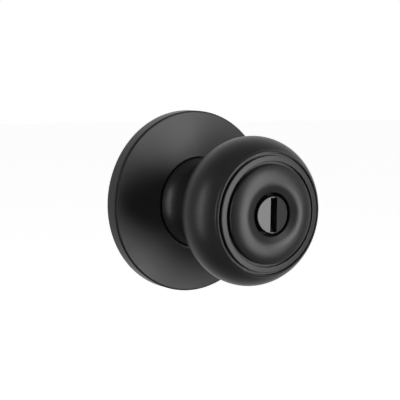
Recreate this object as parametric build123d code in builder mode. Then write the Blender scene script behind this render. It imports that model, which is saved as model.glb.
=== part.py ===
"""Interior half of a privacy door knob set: rose, knob, turn button and everything they hold inside.

The door's surface is the plane Y = 0, the knob's axis is the Y axis, and the knob stands out towards -Y.
Z is up. A height here is a distance in front of the door, so parts inside the door have negative heights.
Sizes are in millimetres and angles in degrees.
"""
from build123d import *
from math import asin, cos, degrees, radians, sin, sqrt, tan
import os

# Rose: the round stamped cover on the door
rose_radius = 33.0
rose_rim_height = 5.2
rose_wall = 0.9
rose_rim_round = 0.8
rose_slope_dip = 0.55
collar_height = 9.4
collar_land = 0.6

# Knob: a ball on a waisted neck, drawn in one piece, closed by a turned face
neck_radius = 13.8
neck_start_height = 5.6
flare_radius = 8.0
flare_tilt = 45.0
waist_radius = 21.5
ball_radius = 25.7
ball_height = 41.0
ball_section_radius = 13.0
shell_wall = 1.0
bead_radius = 21.1
bead_size = 0.5
bead_relief = 0.2
seam_gap = 0.15

# Face: ring, groove, dome and dish
ring_outer_radius = 19.8
ring_width = 2.05
ring_rise = 1.62
ring_slope = 0.2
ring_edge_round = 0.25
seam_groove_depth = 1.5
dome_groove_depth = 1.0
dome_foot_radius = 16.9
dome_shoulder_radius = 1.05
dome_section_radius = 9.5
dome_crest_radius = 11.4
dome_rise = 2.3
dish_section_radius = 4.5
dish_tilt = 28.0
face_skirt_length = 16.1
face_skirt_wall = 1.8
face_wall = 1.9

# Turn button
button_radius = 6.25
button_gap = 1.15
button_crown_rise = 1.8
button_slope = 8.0
button_rim_round = 0.2
button_back_drop = 4.1
button_slot_width = 2.7
button_slot_depth = 3.8
button_slot_end_depth = 1.5
button_slot_rim = 0.45
button_stem_radius = 3.5
button_stem_end_drop = 13.6
button_turn = 90.0
peg_radius = 0.75
peg_circle = 5.0
peg_depth = 2.1

# Mounting plate, on the door under the rose
plate_wall = 1.6
plate_step = 2.0
plate_flange_width = 2.4
plate_flat_radius = 28.6
plate_relief = 0.2
plate_relief_radius = 25.2
screw_spacing = 38.0
screw_radius = 2.0
screw_neck_radius = 1.75
screw_reach = 30.0
screw_thread_length = 14.0
screw_thread_pitch = 0.8
screw_thread_depth = 0.35
screw_head_radius = 3.9
screw_head_height = 2.3
washer_radius = 4.6
washer_wall = 0.8
snap_count = 4
snap_radius = 0.7

# Sleeve and what turns with it
sleeve_radius = 11.0
sleeve_wall = 1.2
sleeve_front_drop = 22.1
key_width = 3.0
key_length = 8.5
bush_wall = 1.5
bush_flange_radius = 14.0
bush_flange_wall = 1.2
bush_tail = 1.0
spring_washer_wall = 0.35
spring_washer_rise = 0.35
retaining_ring_wall = 0.9
retaining_ring_radius = 12.7
retaining_groove_depth = 0.5
retaining_ring_opening = 50.0
drive_wall = 1.2
drive_inner_radius = 6.2
drive_radius = 12.1
drive_tab_reach = 1.7
drive_tab_angle = 24.0
knob_turn = 60.0
stop_angle = 16.0
stop_clearance_angle = 0.8
tongue_width = 5.0

# Housing behind the plate, in the door's bore
housing_radius = 15.6
housing_wall = 1.0
housing_ear_radius = 23.0
housing_ear_height = 21.0
rivet_radius = 1.25
rivet_head_radius = 2.1
rivet_head_height = 0.9
rivet_x = 18.6
rivet_z = 6.6
return_wire = 1.1
return_turns = 2.5
return_pitch = 1.35
return_coil_radius = 12.85
return_leg = 0.2
return_leg_radius = 0.5

# Spindle and lock bar
spindle_side = 7.0
spindle_corner = 0.6
spindle_bore_radius = 2.6
spindle_reach = 36.0
hub_back_height = 6.0
hub_front_height = 20.0
lock_bar_width = 4.2
lock_bar_wall = 1.2
lock_bar_reach = 40.0

# Catch that holds the knob on the sleeve
catch_height = 13.0
catch_radius = 1.95
catch_foot_radius = 2.6
catch_foot_wall = 0.75
catch_bore_radius = 1.4
catch_bore_end = 11.9
catch_travel = 1.7
catch_seat_gap = 0.15
catch_spring_wire = 0.35
catch_spring_turns = 6.0
catch_spring_radius = 1.1
pinhole_radius = 1.25

# Core: the liner between sleeve, shell and face
core_flange_wall = 2.0
core_rib_count = 6
core_rib_wall = 1.6
core_rib_length = 5.0
core_weld = 0.5

# Button bush, clip and detent
button_bush_front_drop = 4.7
button_bush_back_drop = 10.1
button_bush_flange_radius = 9.2
button_bush_flange_wall = 2.0
clip_radius = 5.8
clip_wall = 0.7
clip_groove_depth = 0.35
detent_wall = 0.4
detent_width = 1.5
detent_notch_radius = 0.55
detent_notch_depth = 0.4
detent_reach = 6.8
detent_post = 1.6

# Clearances
running_fit = 0.05
slide_fit = 0.10
seat_gap = 0.05
open_gap = 0.4
rose_gap = 0.3
end_play = 0.2

# Planes: heights and radii for turned profiles, and the plane across the axis at a height
PROFILE = Plane(origin=(0, 0, 0), x_dir=(0, -1, 0), z_dir=(-1, 0, 0))
FRONT = Plane.XZ


def ball_front(section, radius):
    """The height at which the ball's front, of this section radius, comes down to a radius."""
    return ball_height + sqrt(section**2 - (radius + ball_section_radius - ball_radius) ** 2)


def arc_point(centre, radius, tilt):
    """A point on an arc in a turned profile, where the surface leans outwards this far."""
    return (centre[0] + radius * cos(radians(tilt)), centre[1] + radius * sin(radians(tilt)))


def flare_point(radius, tilt):
    """A point on the neck's flare, where its arc of this radius has turned this far."""
    along = waist_height - radius * cos(radians(tilt))
    return (along, neck_radius + flare_radius - radius * sin(radians(tilt)))


# Places worked out from the sizes above
rose_inner_radius = rose_radius - rose_wall
plate_radius = rose_inner_radius - 2 * slide_fit
sleeve_bore = sleeve_radius - sleeve_wall
core_radius = neck_radius - shell_wall - seat_gap
core_bore = sleeve_radius + seat_gap
ball_section_centre = ball_radius - ball_section_radius
waist_offset = neck_radius + waist_radius - ball_section_centre
waist_height = ball_height - sqrt((waist_radius + ball_section_radius) ** 2 - waist_offset**2)
flare_foot = flare_point(flare_radius, flare_tilt)
rose_hole_radius = flare_foot[1] + rose_gap
shell_mouth_radius = bead_radius - bead_size
bead_foot = ball_front(ball_section_radius, bead_radius + bead_size)
ring_height = bead_foot + ring_rise
face_skirt_height = ring_height - face_skirt_length
button_crown_height = ring_height + button_crown_rise
button_back_height = ring_height - button_back_drop
button_stem_end_height = ring_height - button_stem_end_drop
button_bush_front_height = ring_height - button_bush_front_drop
button_bush_back_height = ring_height - button_bush_back_drop
sleeve_front_height = ring_height - sleeve_front_drop
key_start_height = sleeve_front_height - key_length
face_rim_radius = shell_mouth_radius - seam_gap
hole_radius = button_radius + button_gap
screw_places = [(0, screw_spacing / 2), (0, -screw_spacing / 2)]
rivet_places = [(x, z) for x in (-rivet_x, rivet_x) for z in (-rivet_z, rivet_z)]
washer_front = plate_wall + washer_wall
ear_back = plate_relief - housing_wall
bush_back = -bush_tail
spring_washer_back = bush_back - spring_washer_wall - spring_washer_rise
ring_front = spring_washer_back
ring_back = ring_front - retaining_ring_wall
return_front = ring_back - open_gap - return_wire / 2
return_length = return_turns * return_pitch
return_back = return_front - return_length
drive_front = return_back - return_wire / 2 - open_gap
drive_back = drive_front - drive_wall
sleeve_back = drive_front
housing_bore = housing_radius - housing_wall
housing_floor = drive_back - open_gap
housing_back = housing_floor - housing_wall
clip_back = button_bush_back_height - end_play - clip_wall

os.makedirs("parts", exist_ok=True)


def write(piece, name):
    """Label a finished piece and write its STEP file."""
    piece.part.label = name
    export_step(piece.part, f"parts/{name}.step")


def turned_ring(inner, outer, back, front):
    """Add a plain ring between two radii and two heights to the open part."""
    with BuildSketch(FRONT.offset(back)) as section:
        Circle(outer)
        Circle(inner, mode=Mode.SUBTRACT)
    extrude(section.sketch, amount=front - back)


def joining_point(waist, section):
    """Where the waist's arc meets the ball's arc, for the outside or the inside of the shell."""
    share = waist / (waist + section)
    along = waist_height + (ball_height - waist_height) * share
    across = neck_radius + waist_radius - waist_offset * share
    return (along, across)


def waist_middle(waist):
    """A point half way along the waist's arc of this radius."""
    half_turn = 0.5 * asin((ball_height - waist_height) / (waist_radius + ball_section_radius))
    centre = neck_radius + waist_radius
    return (waist_height + waist * sin(half_turn), centre - waist * cos(half_turn))


# Rose cover: rim wall, rounded corner, hollow slope up to a thin collar round the neck
with BuildPart() as rose_cover:
    slope_foot = (rose_rim_height, rose_radius - rose_rim_round)
    collar_edge = (collar_height, rose_hole_radius + collar_land)
    slope_middle = (
        (slope_foot[0] + collar_edge[0]) / 2 - rose_slope_dip,
        (slope_foot[1] + collar_edge[1]) / 2,
    )
    corner_45 = rose_rim_round * (1 - cos(radians(45)))
    with BuildSketch(PROFILE):
        with BuildLine():
            Polyline(
                (0, rose_inner_radius),
                (0, rose_radius),
                (rose_rim_height - rose_rim_round, rose_radius),
            )
            ThreePointArc(
                (rose_rim_height - rose_rim_round, rose_radius),
                (rose_rim_height - corner_45, rose_radius - corner_45),
                slope_foot,
            )
            ThreePointArc(slope_foot, slope_middle, collar_edge)
            Polyline(
                collar_edge,
                (collar_height, rose_hole_radius),
                (collar_height - rose_wall, rose_hole_radius),
                (collar_height - rose_wall, rose_hole_radius + collar_land),
            )
            ThreePointArc(
                (collar_edge[0] - rose_wall, collar_edge[1]),
                (slope_middle[0] - rose_wall, slope_middle[1]),
                (slope_foot[0] - rose_wall, slope_foot[1]),
            )
            Polyline(
                (slope_foot[0] - rose_wall, slope_foot[1]),
                (rose_rim_height - rose_wall, rose_inner_radius),
                (0, rose_inner_radius),
            )
        make_face()
    revolve(axis=Axis.Y)
    collar_edges = rose_cover.edges().filter_by(GeomType.CIRCLE).group_by(Axis.Y)[0]
    fillet(collar_edges, radius=collar_land * 0.45)
    # nibs inside the rim that click behind the plate's flange
    nib_height = plate_step - end_play - snap_radius
    with Locations(FRONT.offset(nib_height)):
        with PolarLocations(rose_inner_radius, snap_count, start_angle=45):
            Sphere(snap_radius)
write(rose_cover, "rose_cover")

# Mounting plate: a flat band on the door round its bore, rim stepped forward to carry the rose
with BuildPart() as mounting_plate:
    flange_inner = plate_radius - plate_flange_width
    with BuildSketch(PROFILE):
        with BuildLine():
            Polyline(
                (plate_relief, sleeve_radius + bush_wall),
                (plate_relief, plate_relief_radius),
                (0, plate_relief_radius + plate_relief),
                (0, plate_flat_radius),
                (plate_step, flange_inner),
                (plate_step, plate_radius),
                (plate_step + rose_wall, plate_radius),
                (plate_step + rose_wall, flange_inner - plate_wall / 2),
                (plate_wall, plate_flat_radius - plate_wall / 2),
                (plate_wall, sleeve_radius + bush_wall),
                close=True,
            )
        make_face()
    revolve(axis=Axis.Y)
    with BuildSketch(FRONT):
        with Locations(*screw_places):
            Circle(screw_radius + 2 * slide_fit)
        with Locations(*rivet_places):
            Circle(rivet_radius + seat_gap)
    extrude(amount=plate_wall, mode=Mode.SUBTRACT)
write(mounting_plate, "mounting_plate")

# Mounting screws: pan heads with a cross recess, slim necks, plain shanks, threaded ends
with BuildPart() as mounting_screws:
    thread_count = int(screw_thread_length / screw_thread_pitch) - 1
    thread_groove = screw_thread_pitch * 0.35
    thread_root = screw_radius - screw_thread_depth
    head_front = washer_front + screw_head_height
    for place_x, place_z in screw_places:
        with BuildSketch(FRONT.offset(washer_front)):
            with Locations((place_x, place_z)):
                Circle(screw_head_radius)
        extrude(amount=screw_head_height)
        with BuildSketch(FRONT.offset(-screw_reach)):
            with Locations((place_x, place_z)):
                Circle(screw_radius)
        extrude(amount=screw_reach)
        with BuildSketch(FRONT):
            with Locations((place_x, place_z)):
                Circle(screw_neck_radius)
        extrude(amount=washer_front)
        for turn in range(thread_count):
            groove_height = -screw_reach + (turn + 1) * screw_thread_pitch
            with BuildSketch(FRONT.offset(groove_height)):
                with Locations((place_x, place_z)):
                    Circle(screw_radius + screw_thread_depth)
                    Circle(thread_root, mode=Mode.SUBTRACT)
            extrude(amount=thread_groove, mode=Mode.SUBTRACT)
    head_edges = mounting_screws.edges().filter_by(GeomType.CIRCLE).group_by(Axis.Y)[0]
    fillet(head_edges, radius=screw_head_height * 0.4)
    with BuildSketch(FRONT.offset(head_front)):
        with Locations(*screw_places):
            Rectangle(screw_head_radius * 1.1, screw_head_radius * 0.3)
            Rectangle(screw_head_radius * 0.3, screw_head_radius * 1.1)
    extrude(amount=-screw_head_height * 0.7, mode=Mode.SUBTRACT)
write(mounting_screws, "mounting_screws")

# Washers under the screw heads
with BuildPart() as screw_washers:
    with BuildSketch(FRONT.offset(plate_wall)):
        with Locations(*screw_places):
            Circle(washer_radius)
            Circle(screw_radius + seat_gap, mode=Mode.SUBTRACT)
    extrude(amount=washer_wall)
write(screw_washers, "screw_washers")

# Plate bush: pressed into the plate from the front, its flange in front
with BuildPart() as plate_bush:
    turned_ring(sleeve_radius + running_fit, sleeve_radius + bush_wall, bush_back, plate_wall)
    turned_ring(
        sleeve_radius + running_fit, bush_flange_radius, plate_wall, plate_wall + bush_flange_wall
    )
write(plate_bush, "plate_bush")

# Spring housing: a cup on the back of the plate, two ears for its rivets, two stops on its floor
with BuildPart() as spring_housing:
    with BuildSketch(FRONT.offset(ear_back)):
        Circle(housing_ear_radius)
        Rectangle(2 * housing_ear_radius, housing_ear_height, mode=Mode.INTERSECT)
        Circle(housing_radius)
        Circle(housing_bore, mode=Mode.SUBTRACT)
        with Locations(*rivet_places):
            Circle(rivet_radius + seat_gap, mode=Mode.SUBTRACT)
    extrude(amount=housing_wall)
    turned_ring(housing_bore, housing_radius, housing_back, ear_back)
    turned_ring(drive_inner_radius, housing_radius, housing_back, housing_floor)
    stop_middle = drive_tab_angle / 2 + knob_turn + stop_clearance_angle + stop_angle / 2
    for side in (-1, 1):
        with BuildSketch(FRONT.offset(housing_floor)):
            with BuildLine():
                first = -90 + side * stop_middle - stop_angle / 2
                inner_arc = CenterArc((0, 0), drive_radius + open_gap, first, stop_angle)
                outer_arc = CenterArc((0, 0), housing_bore + housing_wall / 2, first, stop_angle)
                Line(inner_arc @ 0, outer_arc @ 0)
                Line(inner_arc @ 1, outer_arc @ 1)
            make_face()
        extrude(amount=drive_front - housing_floor)
    # hole for the return spring's fixed end
    with BuildSketch(Plane.XY):
        with Locations((return_leg_radius, -return_front)):
            Circle(return_leg_radius + slide_fit)
    extrude(amount=housing_radius + open_gap, mode=Mode.SUBTRACT)
write(spring_housing, "spring_housing")

# Rivets through the plate and the housing's ears
with BuildPart() as housing_rivets:
    for place_x, place_z in rivet_places:
        with BuildSketch(FRONT.offset(ear_back)):
            with Locations((place_x, place_z)):
                Circle(rivet_radius)
        extrude(amount=plate_wall - ear_back)
        with BuildSketch(FRONT.offset(plate_wall)):
            with Locations((place_x, place_z)):
                Circle(rivet_head_radius)
        extrude(amount=rivet_head_height)
        with BuildSketch(FRONT.offset(ear_back - rivet_head_height)):
            with Locations((place_x, place_z)):
                Circle(rivet_head_radius)
        extrude(amount=rivet_head_height)
    outer_edges = housing_rivets.edges().filter_by(GeomType.CIRCLE)
    fillet(outer_edges.group_by(Axis.Y)[0], radius=rivet_head_height * 0.6)
    fillet(
        housing_rivets.edges().filter_by(GeomType.CIRCLE).group_by(Axis.Y)[-1],
        radius=rivet_head_height * 0.6,
    )
write(housing_rivets, "housing_rivets")

# Return spring: a torsion spring round the sleeve, one end in the drive plate, one in the housing
with BuildPart() as return_spring:
    with BuildLine():
        coil_path = Helix(
            pitch=return_pitch,
            height=return_length,
            radius=return_coil_radius,
            center=(0, -return_front, 0),
            direction=(0, 1, 0),
        )
    with BuildSketch(Plane(origin=coil_path @ 0, z_dir=coil_path % 0)):
        Circle(return_wire / 2)
    sweep(path=coil_path, is_frenet=True)
    # fixed end, out through the housing's wall
    with BuildSketch(Plane.XY.offset(return_coil_radius)):
        with Locations((return_leg_radius, -return_front)):
            Circle(return_leg_radius)
    extrude(amount=housing_radius + return_leg - return_coil_radius)
    # moving end, back through the drive plate's tab
    with BuildSketch(FRONT.offset(drive_back)):
        with Locations((0, -return_coil_radius)):
            Circle(return_leg_radius)
    extrude(amount=return_back + return_wire / 2 - drive_back)
write(return_spring, "return_spring")

# Knob sleeve: the tube that turns in the bush, slotted for the core's key and holed for the catch
with BuildPart() as knob_sleeve:
    turned_ring(sleeve_bore, sleeve_radius, sleeve_back, sleeve_front_height)
    with BuildSketch(FRONT.offset(ring_back - seat_gap)):
        Circle(sleeve_radius + open_gap)
        Circle(sleeve_radius - retaining_groove_depth, mode=Mode.SUBTRACT)
    extrude(amount=retaining_ring_wall + 2 * seat_gap, mode=Mode.SUBTRACT)
    # slot for the key, open to the front
    with BuildSketch(Plane.XY.offset(sleeve_bore - sleeve_wall)):
        with Locations((0, -(key_start_height + sleeve_front_height) / 2)):
            Rectangle(key_width + 2 * seat_gap, sleeve_front_height - key_start_height)
    extrude(amount=3 * sleeve_wall, mode=Mode.SUBTRACT)
    # hole for the catch
    with BuildSketch(Plane.XY):
        with Locations((0, -catch_height)):
            Circle(catch_radius + slide_fit)
    extrude(amount=-sleeve_radius - open_gap, mode=Mode.SUBTRACT)
    # tongues that lock the drive plate
    with BuildSketch(FRONT.offset(drive_back)):
        Circle(sleeve_radius)
        Circle(sleeve_bore, mode=Mode.SUBTRACT)
        Rectangle(2 * sleeve_radius, tongue_width, mode=Mode.INTERSECT)
    extrude(amount=drive_wall)
write(knob_sleeve, "knob_sleeve")

# Spring washer behind the bush: a shallow cone that takes up the sleeve's end play
with BuildPart() as spring_washer:
    washer_inner = sleeve_radius + running_fit
    washer_outer = sleeve_radius + bush_wall
    with BuildSketch(PROFILE):
        with BuildLine():
            Polyline(
                (bush_back, washer_outer),
                (bush_back - spring_washer_wall, washer_outer),
                (spring_washer_back, washer_inner),
                (spring_washer_back + spring_washer_wall, washer_inner),
                close=True,
            )
        make_face()
    revolve(axis=Axis.Y)
write(spring_washer, "spring_washer")

# Retaining ring: an open ring in the sleeve's groove
with BuildPart() as retaining_ring:
    turned_ring(
        sleeve_radius - retaining_groove_depth + seat_gap, retaining_ring_radius, ring_back, ring_front
    )
    opening = 2 * sleeve_radius * sin(radians(retaining_ring_opening / 2))
    with BuildSketch(FRONT.offset(ring_back)):
        with Locations((0, sleeve_radius)):
            Rectangle(opening, sleeve_radius)
    extrude(amount=retaining_ring_wall, mode=Mode.SUBTRACT)
write(retaining_ring, "retaining_ring")

# Drive plate: fixed to the sleeve's end, with the tab that meets the housing's stops
with BuildPart() as drive_plate:
    turned_ring(drive_inner_radius, drive_radius, drive_back, drive_front)
    with BuildSketch(FRONT.offset(drive_back)):
        with BuildLine():
            tab_first = -90 - drive_tab_angle / 2
            tab_root = CenterArc((0, 0), drive_radius - drive_wall, tab_first, drive_tab_angle)
            tab_end = CenterArc((0, 0), drive_radius + drive_tab_reach, tab_first, drive_tab_angle)
            Line(tab_root @ 0, tab_end @ 0)
            Line(tab_root @ 1, tab_end @ 1)
        make_face()
    extrude(amount=drive_wall)
    with BuildSketch(FRONT.offset(drive_back)):
        Circle(sleeve_radius + seat_gap)
        Circle(sleeve_bore - seat_gap, mode=Mode.SUBTRACT)
        Rectangle(2 * sleeve_radius + 2, tongue_width + 2 * seat_gap, mode=Mode.INTERSECT)
    extrude(amount=drive_wall, mode=Mode.SUBTRACT)
    with BuildSketch(FRONT.offset(drive_back)):
        with Locations((0, -return_coil_radius)):
            Circle(return_leg_radius + seat_gap)
    extrude(amount=drive_wall, mode=Mode.SUBTRACT)
write(drive_plate, "drive_plate")

# Spindle hub: the plug in the sleeve that drives the spindle and holds the catch's spring
with BuildPart() as spindle_hub:
    catch_foot_top = sqrt(sleeve_bore**2 - catch_foot_radius**2) - catch_seat_gap
    catch_pocket_floor = catch_foot_top - catch_foot_wall - catch_travel - open_gap
    with BuildSketch(FRONT.offset(hub_back_height)):
        Circle(sleeve_bore)
        Rectangle(spindle_side + 2 * seat_gap, spindle_side + 2 * seat_gap, mode=Mode.SUBTRACT)
    extrude(amount=hub_front_height - hub_back_height)
    with BuildSketch(Plane.XY.offset(-catch_pocket_floor)):
        with Locations((0, -catch_height)):
            Circle(catch_foot_radius + slide_fit)
    extrude(amount=-sleeve_bore, mode=Mode.SUBTRACT)
write(spindle_hub, "spindle_hub")

# Spindle: a hollow square bar from the hub into the latch
with BuildPart() as spindle:
    with BuildSketch(FRONT.offset(-spindle_reach)):
        Rectangle(spindle_side, spindle_side)
        Circle(spindle_bore_radius, mode=Mode.SUBTRACT)
    extrude(amount=spindle_reach + hub_front_height)
    long_edges = spindle.edges().filter_by(Axis.Y).filter_by(GeomType.LINE)
    corner_edges = long_edges.filter_by(lambda edge: abs(edge.center().X) > spindle_bore_radius)
    chamfer(corner_edges, length=spindle_corner)
write(spindle, "spindle")

# Knob catch: a sprung pin with a foot, hollow for its spring
with BuildPart() as knob_catch:
    catch_tip = sleeve_radius + catch_travel - seat_gap
    with BuildSketch(Plane.XY.offset(-catch_foot_top)):
        with Locations((0, -catch_height)):
            Circle(catch_foot_radius)
    extrude(amount=catch_foot_wall)
    with BuildSketch(Plane.XY.offset(-catch_foot_top)):
        with Locations((0, -catch_height)):
            Circle(catch_radius)
    extrude(amount=catch_foot_top - catch_tip)
    with BuildSketch(Plane.XY):
        with Locations((0, -catch_height)):
            Circle(catch_bore_radius)
    extrude(amount=-catch_bore_end, mode=Mode.SUBTRACT)
write(knob_catch, "knob_catch")

# Catch spring: a small coil between the hub's pocket and the catch
with BuildPart() as catch_spring:
    half_wire = catch_spring_wire / 2
    spring_bottom = -catch_bore_end + half_wire + seat_gap
    spring_top = -catch_pocket_floor - half_wire - seat_gap
    with BuildLine():
        spring_path = Helix(
            pitch=(spring_top - spring_bottom) / catch_spring_turns,
            height=spring_top - spring_bottom,
            radius=catch_spring_radius,
            center=(0, -catch_height, spring_bottom),
            direction=(0, 0, 1),
        )
    with BuildSketch(Plane(origin=spring_path @ 0, z_dir=spring_path % 0)):
        Circle(half_wire)
    sweep(path=spring_path, is_frenet=True)
write(catch_spring, "catch_spring")

# Knob core: the liner tube, its key, and the flange that the face stands on
with BuildPart() as knob_core:
    flange_back = face_skirt_height - core_flange_wall
    turned_ring(core_bore, core_radius, neck_start_height + open_gap, face_skirt_height)
    turned_ring(core_radius - core_weld, face_rim_radius, flange_back, face_skirt_height)
    with BuildSketch(Plane.XY.offset(sleeve_radius - sleeve_wall + seat_gap)):
        with Locations((0, -(key_start_height + sleeve_front_height) / 2)):
            Rectangle(key_width, sleeve_front_height - key_start_height - 2 * seat_gap)
    extrude(amount=sleeve_wall + core_weld)
    rib_outer = face_rim_radius - core_rib_wall
    rib_back = flange_back - core_rib_length
    for number in range(core_rib_count):
        angle = 30 + number * 360 / core_rib_count
        across = (-cos(radians(angle)), 0, sin(radians(angle)))
        rib_plane = Plane(origin=(0, 0, 0), x_dir=(0, -1, 0), z_dir=across)
        with BuildSketch(rib_plane):
            with BuildLine():
                Polyline(
                    (rib_back, core_radius - core_weld),
                    (flange_back + core_weld, core_radius - core_weld),
                    (flange_back + core_weld, rib_outer),
                    (flange_back, rib_outer),
                    close=True,
                )
            make_face()
        extrude(amount=core_rib_wall / 2, both=True)
    with BuildSketch(Plane.XY):
        with Locations((0, -catch_height)):
            Circle(catch_radius + slide_fit)
    extrude(amount=-core_radius - open_gap, mode=Mode.SUBTRACT)
write(knob_core, "knob_core")

# Knob shell: flared neck, waist and ball with a fine bead at its mouth, and the pinhole under the neck
with BuildPart() as knob_shell:
    outer_join = joining_point(waist_radius, ball_section_radius)
    inner_waist = waist_radius + shell_wall
    inner_section = ball_section_radius - shell_wall
    inner_join = joining_point(inner_waist, inner_section)
    bead_outer = bead_radius + bead_size
    mouth_inner = ball_front(inner_section, shell_mouth_radius)
    lip_height = ball_front(ball_section_radius, shell_mouth_radius)
    bead_chord = sqrt((lip_height - bead_foot) ** 2 + (2 * bead_size) ** 2)
    bead_middle = (
        (bead_foot + lip_height) / 2 + bead_relief * 2 * bead_size / bead_chord,
        bead_radius + bead_relief * (lip_height - bead_foot) / bead_chord,
    )
    inner_flare = flare_radius + shell_wall
    inner_tilt_sine = (neck_radius + flare_radius - flare_foot[1] + shell_wall) / inner_flare
    inner_tilt = degrees(asin(inner_tilt_sine))
    with BuildSketch(PROFILE):
        with BuildLine():
            Line((neck_start_height, flare_foot[1]), flare_foot)
            ThreePointArc(
                flare_foot,
                flare_point(flare_radius, (flare_tilt + 90) / 2),
                (waist_height, neck_radius),
            )
            ThreePointArc((waist_height, neck_radius), waist_middle(waist_radius), outer_join)
            ThreePointArc(
                outer_join, (ball_height, ball_radius), (bead_foot, bead_outer)
            )
            ThreePointArc(
                (bead_foot, bead_outer), bead_middle, (lip_height, shell_mouth_radius)
            )
            Line((lip_height, shell_mouth_radius), (mouth_inner, shell_mouth_radius))
            ThreePointArc(
                (mouth_inner, shell_mouth_radius),
                (ball_height, ball_radius - shell_wall),
                inner_join,
            )
            ThreePointArc(
                inner_join, waist_middle(inner_waist), (waist_height, neck_radius - shell_wall)
            )
            ThreePointArc(
                (waist_height, neck_radius - shell_wall),
                flare_point(inner_flare, (inner_tilt + 90) / 2),
                flare_point(inner_flare, inner_tilt),
            )
            Polyline(
                flare_point(inner_flare, inner_tilt),
                (neck_start_height, flare_foot[1] - shell_wall),
                (neck_start_height, flare_foot[1]),
            )
        make_face()
    revolve(axis=Axis.Y)
    with BuildSketch(Plane.XY):
        with Locations((0, -catch_height)):
            Circle(pinhole_radius)
    extrude(amount=-neck_radius - open_gap, mode=Mode.SUBTRACT)
write(knob_shell, "knob_shell")

# Knob face: flat ring, groove, round dome and dish round the button's hole, with a skirt to the core
with BuildPart() as knob_face:
    ring_inner = ring_outer_radius - ring_width
    seam_floor = ring_height - seam_groove_depth
    groove_floor = ring_height - dome_groove_depth
    crest_height = ring_height + dome_rise
    shoulder_reach = dome_section_radius - dome_shoulder_radius
    shoulder_across = dome_foot_radius - dome_shoulder_radius - dome_crest_radius
    dome_centre = (crest_height - dome_section_radius, dome_crest_radius)
    shoulder_centre = (
        dome_centre[0] + sqrt(shoulder_reach**2 - shoulder_across**2),
        dome_crest_radius + shoulder_across,
    )
    shoulder_tilt = degrees(asin(shoulder_across / shoulder_reach))
    dish_centre = (crest_height - dish_section_radius, dome_crest_radius)
    dish_end = arc_point(dish_centre, dish_section_radius, -dish_tilt)
    dish_run = dish_end[1] - hole_radius
    dish_height = dish_end[0] - dish_run * tan(radians(dish_tilt))
    back_height = groove_floor - face_wall
    boss_radius = hole_radius + face_wall
    boss_back = button_bush_back_height + button_bush_flange_wall
    with BuildSketch(PROFILE):
        with BuildLine():
            Polyline(
                (face_skirt_height, face_rim_radius),
                (seam_floor, face_rim_radius),
                (seam_floor, ring_outer_radius),
                (ring_height - ring_slope, ring_outer_radius),
                (ring_height, ring_inner),
                (groove_floor, ring_inner),
                (groove_floor, dome_foot_radius),
                (shoulder_centre[0], dome_foot_radius),
            )
            ThreePointArc(
                (shoulder_centre[0], dome_foot_radius),
                arc_point(shoulder_centre, dome_shoulder_radius, (shoulder_tilt + 90) / 2),
                arc_point(shoulder_centre, dome_shoulder_radius, shoulder_tilt),
            )
            ThreePointArc(
                arc_point(dome_centre, dome_section_radius, shoulder_tilt),
                arc_point(dome_centre, dome_section_radius, shoulder_tilt / 2),
                (crest_height, dome_crest_radius),
            )
            ThreePointArc(
                (crest_height, dome_crest_radius),
                arc_point(dish_centre, dish_section_radius, -dish_tilt / 2),
                dish_end,
            )
            Polyline(
                dish_end,
                (dish_height, hole_radius),
                (boss_back, hole_radius),
                (boss_back, boss_radius),
                (back_height, boss_radius),
                (back_height, face_rim_radius - face_skirt_wall),
                (face_skirt_height, face_rim_radius - face_skirt_wall),
                (face_skirt_height, face_rim_radius),
            )
        make_face()
    revolve(axis=Axis.Y)
    for edge_radius in (ring_outer_radius, ring_inner, hole_radius):
        same_radius = knob_face.edges().filter_by(GeomType.CIRCLE).filter_by(
            lambda edge: abs(edge.radius - edge_radius) < seat_gap / 2
        )
        fillet(same_radius.sort_by(Axis.Y)[0], radius=ring_edge_round)
write(knob_face, "knob_face")

# Button bush: pressed into the face from behind; its front has the curved slot for the button's peg
with BuildPart() as button_bush:
    bush_flange_front = button_bush_back_height + button_bush_flange_wall
    bore = button_stem_radius + running_fit
    turned_ring(bore, hole_radius, button_bush_back_height, button_bush_front_height)
    turned_ring(bore, button_bush_flange_radius, button_bush_back_height, bush_flange_front)
    with BuildSketch(FRONT.offset(button_bush_front_height)):
        with BuildLine(mode=Mode.PRIVATE) as peg_travel:
            CenterArc((0, 0), peg_circle, -90, -button_turn)
        SlotArc(arc=peg_travel.line.edge(), height=2 * (peg_radius + 2 * slide_fit))
    extrude(amount=-peg_depth, mode=Mode.SUBTRACT)
    # posts that hold the detent's ends
    with BuildSketch(FRONT.offset(button_stem_end_height)):
        for side in (-1, 1):
            with Locations((button_stem_radius + detent_wall, side * detent_reach)):
                Rectangle(4 * detent_wall, detent_post)
    extrude(amount=button_bush_back_height - button_stem_end_height)
    with BuildSketch(FRONT.offset(button_stem_end_height)):
        for side in (-1, 1):
            with Locations((button_stem_radius + detent_wall, side * detent_reach)):
                Rectangle(detent_wall + 2 * seat_gap, detent_post)
    extrude(amount=detent_width + seat_gap, mode=Mode.SUBTRACT)
write(button_bush, "button_bush")

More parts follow.
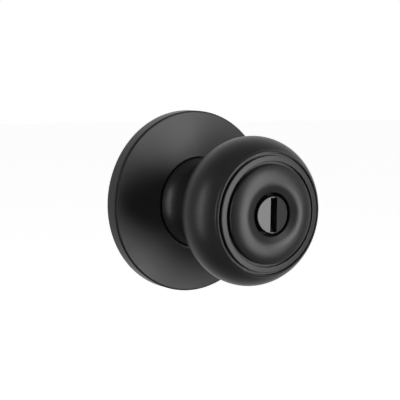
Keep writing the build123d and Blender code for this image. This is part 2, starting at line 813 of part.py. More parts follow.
# Turn button: crowned round head with a coin slot, stem through the bush
with BuildPart() as turn_button:
    crown_drop = button_radius * sin(radians(button_slope)) / cos(radians(button_slope))
    with BuildSketch(FRONT.offset(button_back_height)):
        Circle(button_radius)
    extrude(amount=button_crown_height - button_back_height)
    # two flats fall away to the sides of the slot
    with BuildSketch(Plane.XY.offset(-2 * button_radius)):
        for side in (-1, 1):
            with BuildLine():
                Polyline(
                    (0, -button_crown_height),
                    (side * 2 * button_radius, -button_crown_height + 2 * crown_drop),
                    (side * 2 * button_radius, -button_crown_height - 1),
                    (0, -button_crown_height - 1),
                    close=True,
                )
            make_face()
    extrude(amount=4 * button_radius, mode=Mode.SUBTRACT)
    front_half = -(button_back_height + button_crown_height) / 2
    rim_edges = turn_button.edges().filter_by(GeomType.LINE, reverse=True).filter_by(
        lambda edge: edge.center().Y < front_half
    )
    fillet(rim_edges, radius=button_rim_round)
    # the coin slot, deepest in the middle
    slot_half = button_radius - button_slot_rim
    with BuildSketch(PROFILE.offset(-button_slot_width / 2)):
        with BuildLine():
            ThreePointArc(
                (button_crown_height - button_slot_end_depth, -slot_half),
                (button_crown_height - button_slot_depth, 0),
                (button_crown_height - button_slot_end_depth, slot_half),
            )
            Polyline(
                (button_crown_height - button_slot_end_depth, slot_half),
                (button_crown_height + 1, slot_half),
                (button_crown_height + 1, -slot_half),
                (button_crown_height - button_slot_end_depth, -slot_half),
            )
        make_face()
    extrude(amount=button_slot_width, mode=Mode.SUBTRACT)
    # stem, peg, clip groove, detent notches and the lock bar's slot
    with BuildSketch(FRONT.offset(button_stem_end_height)):
        Circle(button_stem_radius)
    extrude(amount=button_back_height - button_stem_end_height)
    with BuildSketch(FRONT.offset(button_bush_front_height - peg_depth + end_play)):
        with Locations((0, -peg_circle)):
            Circle(peg_radius)
    extrude(amount=button_back_height - button_bush_front_height + peg_depth - end_play)
    with BuildSketch(FRONT.offset(clip_back - seat_gap)):
        Circle(button_stem_radius + 1)
        Circle(button_stem_radius - clip_groove_depth, mode=Mode.SUBTRACT)
    extrude(amount=clip_wall + 2 * seat_gap, mode=Mode.SUBTRACT)
    with BuildSketch(FRONT.offset(button_stem_end_height)):
        with PolarLocations(button_stem_radius + detent_notch_radius - detent_notch_depth, 4):
            Circle(detent_notch_radius)
        Rectangle(lock_bar_width + 2 * seat_gap, lock_bar_wall + 2 * seat_gap)
    extrude(amount=detent_width + seat_gap, mode=Mode.SUBTRACT)
    with BuildSketch(FRONT.offset(button_stem_end_height)):
        Rectangle(lock_bar_width + 2 * seat_gap, lock_bar_wall + 2 * seat_gap)
    extrude(amount=button_bush_back_height + 2 - button_stem_end_height, mode=Mode.SUBTRACT)
write(turn_button, "turn_button")

# Lock bar: the flat bar from the button's stem through the spindle to the latch
with BuildPart() as lock_bar:
    with BuildSketch(FRONT.offset(-lock_bar_reach)):
        Rectangle(lock_bar_width, lock_bar_wall)
    extrude(amount=lock_bar_reach + button_bush_back_height + 2 - seat_gap)
write(lock_bar, "lock_bar")

# Button clip: the push-on ring behind the bush
with BuildPart() as button_clip:
    turned_ring(
        button_stem_radius - clip_groove_depth + seat_gap, clip_radius, clip_back, clip_back + clip_wall
    )
write(button_clip, "button_clip")

# Detent spring: a leaf across the back of the bush whose fold sits in the stem's notch
with BuildPart() as detent_spring:
    leaf_inner = button_stem_radius + detent_wall / 2
    with BuildSketch(FRONT.offset(button_stem_end_height)):
        with Locations((leaf_inner + detent_wall / 2, 0)):
            Rectangle(detent_wall, 2 * detent_reach + detent_post)
        with Locations((button_stem_radius + detent_notch_radius - detent_notch_depth + seat_gap, 0)):
            Circle(detent_notch_radius - seat_gap)
    extrude(amount=detent_width)
write(detent_spring, "detent_spring")
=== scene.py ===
"""Black privacy door knob, interior side: its finishes, wound springs, light and camera round the CAD model.

The door's surface is the plane Y = 0 and the knob stands out towards -Y, with Z up. Lengths in the classes
are in millimetres and become metres when a mesh is made.
"""
import logging
import math
from dataclasses import dataclass, field
from enum import Enum

import bpy
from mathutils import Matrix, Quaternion, Vector


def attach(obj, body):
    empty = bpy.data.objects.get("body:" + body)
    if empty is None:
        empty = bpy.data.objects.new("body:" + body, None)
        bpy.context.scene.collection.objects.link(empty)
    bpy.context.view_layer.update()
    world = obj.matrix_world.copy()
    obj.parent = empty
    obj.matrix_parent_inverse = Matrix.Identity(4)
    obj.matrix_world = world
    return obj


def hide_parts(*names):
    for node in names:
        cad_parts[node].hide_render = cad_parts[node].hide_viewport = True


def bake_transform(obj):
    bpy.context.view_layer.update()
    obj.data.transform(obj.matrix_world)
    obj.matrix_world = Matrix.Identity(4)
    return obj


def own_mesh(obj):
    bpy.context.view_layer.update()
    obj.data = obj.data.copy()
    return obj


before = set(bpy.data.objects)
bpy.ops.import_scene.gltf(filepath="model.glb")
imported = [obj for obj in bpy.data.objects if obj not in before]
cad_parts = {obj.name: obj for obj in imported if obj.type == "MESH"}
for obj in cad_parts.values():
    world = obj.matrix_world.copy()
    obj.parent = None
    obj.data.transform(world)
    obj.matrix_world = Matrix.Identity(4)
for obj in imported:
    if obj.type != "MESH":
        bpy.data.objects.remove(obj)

LOG = logging.getLogger("door_knob")
MM = 0.001
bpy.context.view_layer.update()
WIRE_TIP_SHARE = 0.6


class Body(Enum):
    """The rigid bodies that a piece can ride on."""

    DOOR_SIDE = "door_side"
    KNOB = "knob"


class Zinc(Enum):
    """The passivation of a zinc-plated piece, by the colour that it leaves."""

    CLEAR = "#c3c6c8"
    BLUE = "#b4bac2"
    YELLOW = "#c9b98a"


def linear(hex_colour: str) -> tuple[float, float, float, float]:
    """Turn an sRGB hex colour into linear light.

    Args:
        hex_colour: the colour, such as "#1b1b1c".

    Returns:
        Red, green, blue and an alpha of 1.
    """
    parts = [int(hex_colour[place : place + 2], 16) / 255 for place in (1, 3, 5)]
    light = [part / 12.92 if part <= 0.04045 else ((part + 0.055) / 1.055) ** 2.4 for part in parts]
    return (light[0], light[1], light[2], 1.0)


def per_metre(size_mm: float) -> float:
    """The texture scale that gives one repeat of a pattern this many millimetres across."""
    return 1.0 / (size_mm * MM)


def add_node(
    tree: bpy.types.NodeTree,
    kind: str,
    settings: dict[str, object] | None = None,
    links: dict[str | int, bpy.types.NodeSocket] | None = None,
) -> bpy.types.Node:
    """Add a node, set its own values and sockets, and link what feeds it.

    Args:
        tree: the node tree that the node goes into.
        kind: the node's type name.
        settings: values by property name or, where there is no such property, by input socket name.
        links: the output socket that feeds each input, by the input's name or place.

    Returns:
        The new node.
    """
    node = tree.nodes.new(kind)
    for key, value in (settings or {}).items():
        if hasattr(node, key):
            setattr(node, key, value)
        else:
            node.inputs[key].default_value = value
    for key, source in (links or {}).items():
        tree.links.new(source, node.inputs[key])
    return node


def set_ramp(node: bpy.types.Node, stops: list[tuple[float, tuple[float, float, float, float]]]) -> None:
    """Give a colour ramp its stops.

    Args:
        node: the colour ramp node.
        stops: position and linear colour of each stop, in order.
    """
    elements = node.color_ramp.elements
    while len(elements) < len(stops):
        elements.new(0.5)
    for element, (place, colour) in zip(elements, stops):
        element.position = place
        element.color = colour


@dataclass(frozen=True)
class SatinBlackCoat:
    """Satin black electro-coat over a drawn or turned metal skin.

    The eye gets a deep neutral black whose highlights are broad and soft, with a very fine even grain.
    """

    name: str = "satin_black_coat"
    shade_low: str = "#222223"
    shade_high: str = "#262627"
    roughness: float = 0.40
    roughness_spread: float = 0.03
    ior: float = 1.5
    grain_mm: float = 0.35
    drift_mm: float = 18.0
    relief_mm: float = 0.002

    def material(self) -> bpy.types.Material:
        """Make the coat's material.

        Returns:
            The material, with its grain in the bump and its slow drift in colour and roughness.
        """
        made = bpy.data.materials.new(self.name)
        made.use_nodes = True
        tree = made.node_tree
        shader = tree.nodes["Principled BSDF"]
        place = add_node(tree, "ShaderNodeTexCoord")
        grain = add_node(
            tree,
            "ShaderNodeTexNoise",
            {"Scale": per_metre(self.grain_mm), "Detail": 3.0, "Roughness": 0.55},
            {"Vector": place.outputs["Object"]},
        )
        drift = add_node(
            tree,
            "ShaderNodeTexNoise",
            {"Scale": per_metre(self.drift_mm), "Detail": 2.0, "Roughness": 0.5},
            {"Vector": place.outputs["Object"]},
        )
        shade = add_node(tree, "ShaderNodeValToRGB", links={"Fac": drift.outputs["Fac"]})
        set_ramp(shade, [(0.3, linear(self.shade_low)), (0.7, linear(self.shade_high))])
        gloss = add_node(
            tree,
            "ShaderNodeMapRange",
            {
                "From Min": 0.3,
                "From Max": 0.7,
                "To Min": self.roughness - self.roughness_spread,
                "To Max": self.roughness + self.roughness_spread,
            },
            {"Value": drift.outputs["Fac"]},
        )
        relief = add_node(
            tree,
            "ShaderNodeBump",
            {"Strength": 0.35, "Distance": self.relief_mm * MM},
            {"Height": grain.outputs["Fac"]},
        )
        shader.inputs["IOR"].default_value = self.ior
        tree.links.new(shade.outputs["Color"], shader.inputs["Base Color"])
        tree.links.new(gloss.outputs["Result"], shader.inputs["Roughness"])
        tree.links.new(relief.outputs["Normal"], shader.inputs["Normal"])
        return made


@dataclass(frozen=True)
class BrushedBlackCoat:
    """The same black coat over a die-cast button that was brushed before coating.

    The eye gets a slightly livelier black than the knob's, with faint lines along the coin slot.
    """

    name: str = "brushed_black_coat"
    shade_low: str = "#232324"
    shade_high: str = "#2b2b2c"
    roughness: float = 0.31
    ior: float = 1.62
    line_mm: float = 0.22
    line_length_mm: float = 5.0
    relief_mm: float = 0.004

    def material(self) -> bpy.types.Material:
        """Make the button's material.

        Returns:
            The material, with brushed lines along Z in its colour, roughness and bump.
        """
        made = bpy.data.materials.new(self.name)
        made.use_nodes = True
        tree = made.node_tree
        shader = tree.nodes["Principled BSDF"]
        place = add_node(tree, "ShaderNodeTexCoord")
        stretch = add_node(
            tree,
            "ShaderNodeMapping",
            {"Scale": (1.0, 1.0, self.line_mm / self.line_length_mm)},
            {"Vector": place.outputs["Object"]},
        )
        lines = add_node(
            tree,
            "ShaderNodeTexNoise",
            {"Scale": per_metre(self.line_mm), "Detail": 2.0, "Roughness": 0.6},
            {"Vector": stretch.outputs["Vector"]},
        )
        shade = add_node(tree, "ShaderNodeValToRGB", links={"Fac": lines.outputs["Fac"]})
        set_ramp(shade, [(0.35, linear(self.shade_low)), (0.65, linear(self.shade_high))])
        gloss = add_node(
            tree,
            "ShaderNodeMapRange",
            {"To Min": self.roughness - 0.05, "To Max": self.roughness + 0.05},
            {"Value": lines.outputs["Fac"]},
        )
        relief = add_node(
            tree,
            "ShaderNodeBump",
            {"Strength": 0.4, "Distance": self.relief_mm * MM},
            {"Height": lines.outputs["Fac"]},
        )
        shader.inputs["IOR"].default_value = self.ior
        tree.links.new(shade.outputs["Color"], shader.inputs["Base Color"])
        tree.links.new(gloss.outputs["Result"], shader.inputs["Roughness"])
        tree.links.new(relief.outputs["Normal"], shader.inputs["Normal"])
        return made


@dataclass(frozen=True)
class ZincPlate:
    """Electroplated zinc on pressed steel sheet.

    The eye gets a bright grey metal with cloudy patches a few millimetres across and fine rolling marks.
    """

    name: str
    passivation: Zinc
    roughness: float = 0.32
    cloud_mm: float = 5.0
    mark_mm: float = 0.25
    dull_share: float = 0.78

    def material(self) -> bpy.types.Material:
        """Make the plated steel's material.

        Returns:
            The material, with clouds in colour and roughness and rolling marks in the bump.
        """
        made = bpy.data.materials.new(self.name)
        made.use_nodes = True
        tree = made.node_tree
        shader = tree.nodes["Principled BSDF"]
        place = add_node(tree, "ShaderNodeTexCoord")
        clouds = add_node(
            tree,
            "ShaderNodeTexVoronoi",
            {"feature": "SMOOTH_F1", "Scale": per_metre(self.cloud_mm), "Smoothness": 0.6},
            {"Vector": place.outputs["Object"]},
        )
        stretch = add_node(
            tree, "ShaderNodeMapping", {"Scale": (0.04, 1.0, 1.0)}, {"Vector": place.outputs["Object"]}
        )
        marks = add_node(
            tree,
            "ShaderNodeTexNoise",
            {"Scale": per_metre(self.mark_mm), "Detail": 3.0},
            {"Vector": stretch.outputs["Vector"]},
        )
        full = linear(self.passivation.value)
        dull = tuple(part * self.dull_share for part in full[:3]) + (1.0,)
        shade = add_node(tree, "ShaderNodeValToRGB", links={"Fac": clouds.outputs["Distance"]})
        set_ramp(shade, [(0.1, full), (0.9, dull)])
        gloss = add_node(
            tree,
            "ShaderNodeMapRange",
            {"To Min": self.roughness - 0.06, "To Max": self.roughness + 0.10},
            {"Value": clouds.outputs["Distance"]},
        )
        relief = add_node(
            tree,
            "ShaderNodeBump",
            {"Strength": 0.3, "Distance": 0.01 * MM},
            {"Height": marks.outputs["Fac"]},
        )
        shader.inputs["Metallic"].default_value = 1.0
        tree.links.new(shade.outputs["Color"], shader.inputs["Base Color"])
        tree.links.new(gloss.outputs["Result"], shader.inputs["Roughness"])
        tree.links.new(relief.outputs["Normal"], shader.inputs["Normal"])
        return made


@dataclass(frozen=True)
class WorkedMetal:
    """Bare metal as it leaves a lathe, a die or a drawing bench.

    The eye gets tool lines across the axis for turned metal, or an even dull skin for cast metal.
    """

    name: str
    colour: str
    roughness: float
    line_mm: float
    stretch: tuple[float, float, float]
    relief_mm: float = 0.01
    dull_share: float = 0.7

    def material(self) -> bpy.types.Material:
        """Make the bare metal's material.

        Returns:
            The material, with its tool lines or casting skin in colour, roughness and bump.
        """
        made = bpy.data.materials.new(self.name)
        made.use_nodes = True
        tree = made.node_tree
        shader = tree.nodes["Principled BSDF"]
        place = add_node(tree, "ShaderNodeTexCoord")
        stretch = add_node(
            tree, "ShaderNodeMapping", {"Scale": self.stretch}, {"Vector": place.outputs["Object"]}
        )
        lines = add_node(
            tree,
            "ShaderNodeTexNoise",
            {"Scale": per_metre(self.line_mm), "Detail": 4.0, "Roughness": 0.6},
            {"Vector": stretch.outputs["Vector"]},
        )
        full = linear(self.colour)
        dull = tuple(part * self.dull_share for part in full[:3]) + (1.0,)
        shade = add_node(tree, "ShaderNodeValToRGB", links={"Fac": lines.outputs["Fac"]})
        set_ramp(shade, [(0.3, dull), (0.65, full)])
        gloss = add_node(
            tree,
            "ShaderNodeMapRange",
            {"To Min": self.roughness + 0.08, "To Max": self.roughness - 0.08},
            {"Value": lines.outputs["Fac"]},
        )
        relief = add_node(
            tree,
            "ShaderNodeBump",
            {"Strength": 0.4, "Distance": self.relief_mm * MM},
            {"Height": lines.outputs["Fac"]},
        )
        shader.inputs["Metallic"].default_value = 1.0
        tree.links.new(shade.outputs["Color"], shader.inputs["Base Color"])
        tree.links.new(gloss.outputs["Result"], shader.inputs["Roughness"])
        tree.links.new(relief.outputs["Normal"], shader.inputs["Normal"])
        return made


@dataclass(frozen=True)
class MouldedNylon:
    """Injection-moulded nylon.

    The eye gets a waxy plastic with a fine spark-eroded grain.
    """

    name: str
    colour: str
    roughness: float = 0.45
    grain_mm: float = 0.18
    dull_share: float = 0.86
    ior: float = 1.53

    def material(self) -> bpy.types.Material:
        """Make the nylon's material.

        Returns:
            The material, with the mould's grain in the bump and a slow drift in its colour.
        """
        made = bpy.data.materials.new(self.name)
        made.use_nodes = True
        tree = made.node_tree
        shader = tree.nodes["Principled BSDF"]
        place = add_node(tree, "ShaderNodeTexCoord")
        grain = add_node(
            tree,
            "ShaderNodeTexNoise",
            {"Scale": per_metre(self.grain_mm), "Detail": 2.0},
            {"Vector": place.outputs["Object"]},
        )
        full = linear(self.colour)
        dull = tuple(part * self.dull_share for part in full[:3]) + (1.0,)
        shade = add_node(tree, "ShaderNodeValToRGB", links={"Fac": grain.outputs["Fac"]})
        set_ramp(shade, [(0.3, dull), (0.7, full)])
        relief = add_node(
            tree,
            "ShaderNodeBump",
            {"Strength": 0.3, "Distance": 0.01 * MM},
            {"Height": grain.outputs["Fac"]},
        )
        shader.inputs["Roughness"].default_value = self.roughness
        shader.inputs["IOR"].default_value = self.ior
        tree.links.new(shade.outputs["Color"], shader.inputs["Base Color"])
        tree.links.new(relief.outputs["Normal"], shader.inputs["Normal"])
        return made


def coat(node: str, finish: bpy.types.Material) -> None:
    """Put a finish on a CAD node.

    Args:
        node: the node's name.
        finish: the material that all its surfaces get.
    """
    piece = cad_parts[node]
    for place in piece.material_slots:
        place.material = finish
    LOG.info("%s is finished in %s", node, finish.name)


def wire_mesh(name: str, path: list[Vector], radius_mm: float, sides: int) -> bpy.types.Object:
    """Sweep a round wire along a path, with closed ends.

    Args:
        name: the new piece's name.
        path: the wire's middle line, in millimetres.
        radius_mm: the wire's radius.
        sides: how many flats go round the wire.

    Returns:
        The wire as a smooth mesh piece, in metres.
    """
    ways = [(path[min(i + 1, len(path) - 1)] - path[max(i - 1, 0)]).normalized() for i in range(len(path))]
    side = ways[0].orthogonal().normalized()
    points: list[Vector] = []
    for place, (spot, way) in enumerate(zip(path, ways)):
        if place:
            side = ways[place - 1].rotation_difference(way) @ side
        side = (side - way * side.dot(way)).normalized()
        over = way.cross(side)
        # the last rings close in to a rounded tip
        from_end = min(place, len(path) - 1 - place)
        width = radius_mm * (WIRE_TIP_SHARE if from_end == 0 else 1.0)
        for step in range(sides):
            turn = 2 * math.pi * step / sides
            points.append((spot + (side * math.cos(turn) + over * math.sin(turn)) * width) * MM)
    faces = []
    for ring in range(len(path) - 1):
        for step in range(sides):
            first, second = ring * sides + step, ring * sides + (step + 1) % sides
            faces.append((first, second, second + sides, first + sides))
    faces.append(tuple(reversed(range(sides))))
    faces.append(tuple(range(len(points) - sides, len(points))))
    mesh = bpy.data.meshes.new(name)
    mesh.from_pydata([tuple(point) for point in points], [], faces)
    mesh.update()
    mesh.shade_smooth()
    piece = bpy.data.objects.new(name, mesh)
    bpy.context.scene.collection.objects.link(piece)
    return piece


def rounded(corner: Vector, before: Vector, after: Vector, radius_mm: float, steps: int = 6) -> list[Vector]:
    """The arc-like run of points that takes a wire round a corner.

    Args:
        corner: where the two straight runs would meet.
        before: a point on the run that comes in.
        after: a point on the run that goes out.
        radius_mm: how far from the corner the bend begins and ends.
        steps: how many points the bend gets.

    Returns:
        Points from the end of the first run to the start of the second.
    """
    start = corner + (before - corner).normalized() * radius_mm
    end = corner + (after - corner).normalized() * radius_mm
    line = []
    for step in range(steps + 1):
        part = step / steps
        line.append(start * (1 - part) ** 2 + corner * 2 * part * (1 - part) + end * part**2)
    return line


@dataclass
class Rose:
    """The cover on the door, and the plate, screws, bush and spring housing that it hides."""

    black: SatinBlackCoat = field(default_factory=SatinBlackCoat)
    plate_zinc: ZincPlate = field(default_factory=lambda: ZincPlate("zinc_plated_sheet", Zinc.CLEAR))
    screw_zinc: ZincPlate = field(
        default_factory=lambda: ZincPlate("zinc_plated_screw", Zinc.BLUE, roughness=0.28, cloud_mm=1.5)
    )
    bush_nylon: MouldedNylon = field(default_factory=lambda: MouldedNylon("natural_nylon", "#d9d5c7"))

    def dress(self, black: bpy.types.Material) -> None:
        """Finish the rose's nodes.

        Args:
            black: the coat that the rose shares with the knob.
        """
        coat("rose_cover", black)
        sheet = self.plate_zinc.material()
        for node in ("mounting_plate", "spring_housing", "screw_washers"):
            coat(node, sheet)
        screws = self.screw_zinc.material()
        for node in ("mounting_screws", "housing_rivets"):
            coat(node, screws)
        coat("plate_bush", self.bush_nylon.material())


@dataclass
class ReturnDrive:
    """The sleeve and spindle that turn with the knob, and the wound spring that brings them back."""

    coil_radius: float = 12.85
    wire_radius: float = 0.52
    turns: float = 2.5
    coil_front: float = 3.55
    coil_back: float = 6.925
    fixed_leg_radius: float = 15.6
    moving_leg_end: float = 8.95
    bend: float = 1.1
    lead_steps: int = 4
    blend_margin: float = 0.6
    steps_per_turn: int = 72
    sleeve_steel: WorkedMetal = field(
        default_factory=lambda: WorkedMetal("turned_steel", "#b0aeab", 0.34, 0.3, (0.05, 1.0, 0.05))
    )
    spindle_zinc: ZincPlate = field(
        default_factory=lambda: ZincPlate("yellow_zinc_bar", Zinc.YELLOW, cloud_mm=3.0)
    )
    hub_zinc: WorkedMetal = field(
        default_factory=lambda: WorkedMetal("die_cast_hub", "#96958f", 0.5, 0.8, (1.0, 1.0, 1.0))
    )

    def spring_path(self) -> list[Vector]:
        """Trace the return spring's wire from its fixed end to its moving end.

        Returns:
            The wire's middle line, in millimetres.
        """
        count = int(self.turns * self.steps_per_turn)
        coil = []
        for step in range(count + 1):
            turn = 2 * math.pi * self.turns * step / count
            along = self.coil_front + (self.coil_back - self.coil_front) * step / count
            coil.append(Vector((self.coil_radius * math.sin(turn), along, self.coil_radius * math.cos(turn))))
        lead = self.lead_steps
        fixed_end = Vector((0, self.coil_front, self.fixed_leg_radius))
        moving_end = Vector((coil[-1].x, self.moving_leg_end, coil[-1].z))
        path = [fixed_end, fixed_end.lerp(coil[0], 0.5)]
        path += rounded(coil[0], fixed_end, coil[lead], self.bend)
        path += coil[lead:-lead]
        path += rounded(coil[-1], coil[-1 - lead], moving_end, self.bend)
        path += [coil[-1].lerp(moving_end, 0.7), moving_end]
        return path

    def build_spring(self, finish: bpy.types.Material) -> None:
        """Wind the return spring in place of its CAD solid.

        Args:
            finish: the spring steel.
        """
        piece = wire_mesh("return_spring_wire", self.spring_path(), self.wire_radius, 14)
        piece.data.materials.append(finish)
        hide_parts("return_spring")
        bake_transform(piece)
        LOG.info("return spring wound with %.1f turns", self.turns)

    def dress(self, spring_steel: bpy.types.Material) -> None:
        """Finish the drive's nodes.

        Args:
            spring_steel: the steel of the springs and rings.
        """
        turned = self.sleeve_steel.material()
        for node in ("knob_sleeve", "drive_plate"):
            coat(node, turned)
        bars = self.spindle_zinc.material()
        for node in ("spindle", "lock_bar"):
            coat(node, bars)
        coat("spindle_hub", self.hub_zinc.material())
        for node in ("spring_washer", "retaining_ring", "button_clip", "detent_spring"):
            coat(node, spring_steel)


@dataclass
class KnobHead:
    """The drawn shell, the turned face and the cast core that they are fixed to."""

    core_zinc: WorkedMetal = field(
        default_factory=lambda: WorkedMetal("die_cast_core", "#8f8e89", 0.52, 0.9, (1.0, 1.0, 1.0))
    )

    def dress(self, black: bpy.types.Material) -> None:
        """Finish the head's nodes.

        Args:
            black: the coat that the shell and face share with the rose.
        """
        coat("knob_shell", black)
        coat("knob_face", black)
        coat("knob_core", self.core_zinc.material())


@dataclass
class CatchParts:
    """The pin that holds the knob on its sleeve, and the small coil behind it."""

    height: float = -13.0
    coil_radius: float = 1.08
    wire_radius: float = 0.17
    inner_end: float = -6.37
    outer_end: float = -11.66
    active_turns: float = 5.0
    closed_turns: float = 1.0
    closed_pitch_share: float = 2.05
    steps_per_turn: int = 28
    travel_share: float = 0.7
    brass: WorkedMetal = field(
        default_factory=lambda: WorkedMetal("turned_brass", "#c9a95f", 0.3, 0.2, (1.0, 1.0, 0.05))
    )

    def build_spring(self, finish: bpy.types.Material) -> None:
        """Wind the catch spring, with a closed turn at each end, in place of its CAD solid.

        Args:
            finish: the spring steel.
        """
        closed_rise = self.closed_turns * self.wire_radius * self.closed_pitch_share
        length = self.inner_end - self.outer_end
        total = self.active_turns + 2 * self.closed_turns
        count = int(total * self.steps_per_turn)
        path = []
        for step in range(count + 1):
            turns = total * step / count
            if turns < self.closed_turns:
                rise = closed_rise * turns / self.closed_turns
            elif turns > total - self.closed_turns:
                rise = length - closed_rise * (total - turns) / self.closed_turns
            else:
                share = (turns - self.closed_turns) / self.active_turns
                rise = closed_rise + (length - 2 * closed_rise) * share
            turn = 2 * math.pi * turns
            path.append(
                Vector(
                    (
                        self.coil_radius * math.cos(turn),
                        self.height + self.coil_radius * math.sin(turn),
                        self.outer_end + rise,
                    )
                )
            )
        piece = wire_mesh("catch_spring_wire", path, self.wire_radius, 10)
        piece.data.materials.append(finish)
        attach(piece, Body.KNOB.value)
        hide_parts("catch_spring")
        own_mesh(piece)
        LOG.info("catch spring wound with %.1f turns", total)

    def dress(self) -> None:
        """Finish the catch itself."""
        coat("knob_catch", self.brass.material())


@dataclass
class ThumbTurn:
    """The turn button and the bush that it turns in."""

    black: BrushedBlackCoat = field(default_factory=BrushedBlackCoat)
    nylon: MouldedNylon = field(
        default_factory=lambda: MouldedNylon("dyed_black_nylon", "#161616", roughness=0.55)
    )

    def dress(self) -> None:
        """Finish the button and its bush."""
        coat("turn_button", self.black.material())
        coat("button_bush", self.nylon.material())


@dataclass(frozen=True)
class Softbox:
    """A soft studio lamp, placed by the direction that it shines from."""

    name: str
    azimuth: float
    elevation: float
    distance_mm: float
    width_mm: float
    height_mm: float
    radiance: float
    colour: str = "#ffffff"

    def hang(self, target: Vector) -> None:
        """Hang the lamp facing a point.

        Args:
            target: the point that the lamp faces, in metres.
        """
        light = bpy.data.lights.new(self.name, "AREA")
        light.shape = "RECTANGLE"
        light.size = self.width_mm * MM
        light.size_y = self.height_mm * MM
        # an area lamp of this power has the stated radiance all over its face
        light.energy = self.radiance * math.pi * light.size * light.size_y
        light.color = linear(self.colour)[:3]
        lamp = bpy.data.objects.new(self.name, light)
        bpy.context.scene.collection.objects.link(lamp)
        side, rise = math.radians(self.azimuth), math.radians(self.elevation)
        way = Vector(
            (math.sin(side) * math.cos(rise), -math.cos(side) * math.cos(rise), math.sin(rise))
        )
        lamp.location = target + way * self.distance_mm * MM
        lamp.rotation_mode = "QUATERNION"
        lamp.rotation_quaternion = way.to_track_quat("Z", "Y")


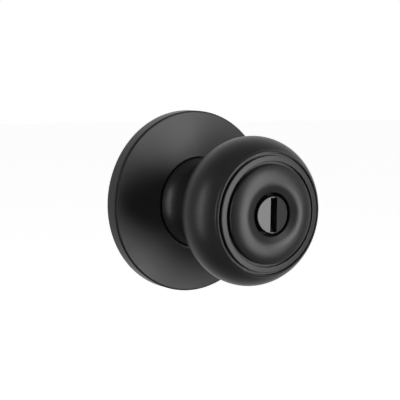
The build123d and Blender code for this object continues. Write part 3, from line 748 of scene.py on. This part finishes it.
@dataclass
class Studio:
    """The floor, the lamps, the pale surroundings and the camera."""

    floor_drop_mm: float = 260.0
    floor_side_mm: float = 12000.0
    camera_azimuth: float = -35.37
    camera_elevation: float = 6.26
    camera_distance_mm: float = 430.4
    camera_roll: float = 0.835
    lens_mm: float = 111.09
    middle_mm: tuple[float, float, float] = (0.0, -30.0, 0.0)
    aim_mm: tuple[float, float, float] = (-13.73, -30.0, 3.39)
    floor_glow: float = 0.68
    backdrop_way: tuple[float, float, float] = (0.5, 0.866, 0.0)
    surround_levels: tuple[tuple[float, float], ...] = (
        (0.0, 0.13),
        (0.1, 0.25),
        (0.42, 0.38),
        (0.88, 1.0),
    )
    lamps: tuple[Softbox, ...] = (
        Softbox("key_softbox", 22.0, 0.0, 1000.0, 600.0, 1300.0, 5.0),
        Softbox("side_strip", -96.0, 2.0, 800.0, 180.0, 900.0, 4.6),
    )

    def build_floor(self) -> None:
        """Lay the plain pale floor under the object."""
        half = self.floor_side_mm * MM / 2
        drop = -self.floor_drop_mm * MM
        mesh = bpy.data.meshes.new("studio_floor")
        corners = [(-half, -half, drop), (half, -half, drop), (half, half, drop), (-half, half, drop)]
        mesh.from_pydata(corners, [], [(0, 1, 2, 3)])
        floor = bpy.data.objects.new("studio_floor", mesh)
        bpy.context.scene.collection.objects.link(floor)
        pale = bpy.data.materials.new("pale_paper")
        pale.use_nodes = True
        shader = pale.node_tree.nodes["Principled BSDF"]
        shader.inputs["Base Color"].default_value = linear("#fbfbfb")
        shader.inputs["Roughness"].default_value = 0.9
        shader.inputs["Specular IOR Level"].default_value = 0.0
        shader.inputs["Emission Color"].default_value = linear("#ffffff")
        shader.inputs["Emission Strength"].default_value = self.floor_glow
        mesh.materials.append(pale)
        floor.visible_glossy = False
        floor.visible_diffuse = False

    def build_surroundings(self) -> None:
        """Light the object softly from behind the door's plane and keep its front dim."""
        world = bpy.data.worlds.new("studio")
        bpy.context.scene.world = world
        world.use_nodes = True
        tree = world.node_tree
        tree.nodes.clear()
        place = add_node(tree, "ShaderNodeTexCoord")
        toward = add_node(
            tree, "ShaderNodeVectorMath", {"operation": "DOT_PRODUCT"}, {0: place.outputs["Generated"]}
        )
        toward.inputs[1].default_value = self.backdrop_way
        fall = add_node(tree, "ShaderNodeValToRGB", links={"Fac": toward.outputs["Value"]})
        set_ramp(fall, [(share, (level, level, level, 1.0)) for share, level in self.surround_levels])
        around = add_node(tree, "ShaderNodeBackground", {"Strength": 1.0}, {"Color": fall.outputs["Color"]})
        backdrop = add_node(tree, "ShaderNodeBackground", {"Strength": 1.0})
        backdrop.inputs["Color"].default_value = linear("#ffffff")
        ray = add_node(tree, "ShaderNodeLightPath")
        both = add_node(
            tree,
            "ShaderNodeMixShader",
            links={
                0: ray.outputs["Is Camera Ray"],
                1: around.outputs["Background"],
                2: backdrop.outputs["Background"],
            },
        )
        add_node(tree, "ShaderNodeOutputWorld", links={"Surface": both.outputs["Shader"]})

    def build_camera(self) -> None:
        """Set the camera at the left of the knob and a little above it."""
        side, rise = math.radians(self.camera_azimuth), math.radians(self.camera_elevation)
        back = Vector(
            (math.sin(side) * math.cos(rise), -math.cos(side) * math.cos(rise), math.sin(rise))
        )
        spot = Vector(self.middle_mm) * MM + back * self.camera_distance_mm * MM
        look = Vector(self.aim_mm) * MM - spot
        lens = bpy.data.cameras.new("camera")
        lens.lens = self.lens_mm
        lens.sensor_width = 36.0
        lens.clip_start = 0.01
        camera = bpy.data.objects.new("camera", lens)
        bpy.context.scene.collection.objects.link(camera)
        camera.location = spot
        camera.rotation_mode = "QUATERNION"
        tilt = Quaternion((0, 0, 1), math.radians(self.camera_roll))
        camera.rotation_quaternion = look.to_track_quat("-Z", "Y") @ tilt
        bpy.context.scene.camera = camera

    def build(self) -> None:
        """Make the whole studio."""
        self.build_floor()
        self.build_surroundings()
        self.build_camera()
        target = Vector(self.middle_mm) * MM
        for lamp in self.lamps:
            lamp.hang(target)
            LOG.info("%s hung", lamp.name)
        bpy.context.scene.view_settings.view_transform = "Standard"
        bpy.context.scene.view_settings.look = "None"


def main() -> None:
    """Build the studio, then every sub-assembly in order."""
    logging.basicConfig(level=logging.INFO, format="%(name)s: %(message)s")
    Studio().build()
    rose = Rose()
    black = rose.black.material()
    spring_steel = WorkedMetal("drawn_spring_steel", "#8b8985", 0.3, 0.12, (1.0, 1.0, 1.0)).material()
    rose.dress(black)
    drive = ReturnDrive()
    drive.build_spring(spring_steel)
    drive.dress(spring_steel)
    KnobHead().dress(black)
    catch = CatchParts()
    catch.build_spring(spring_steel)
    catch.dress()
    ThumbTurn().dress()


if __name__ == "__main__":
    main()
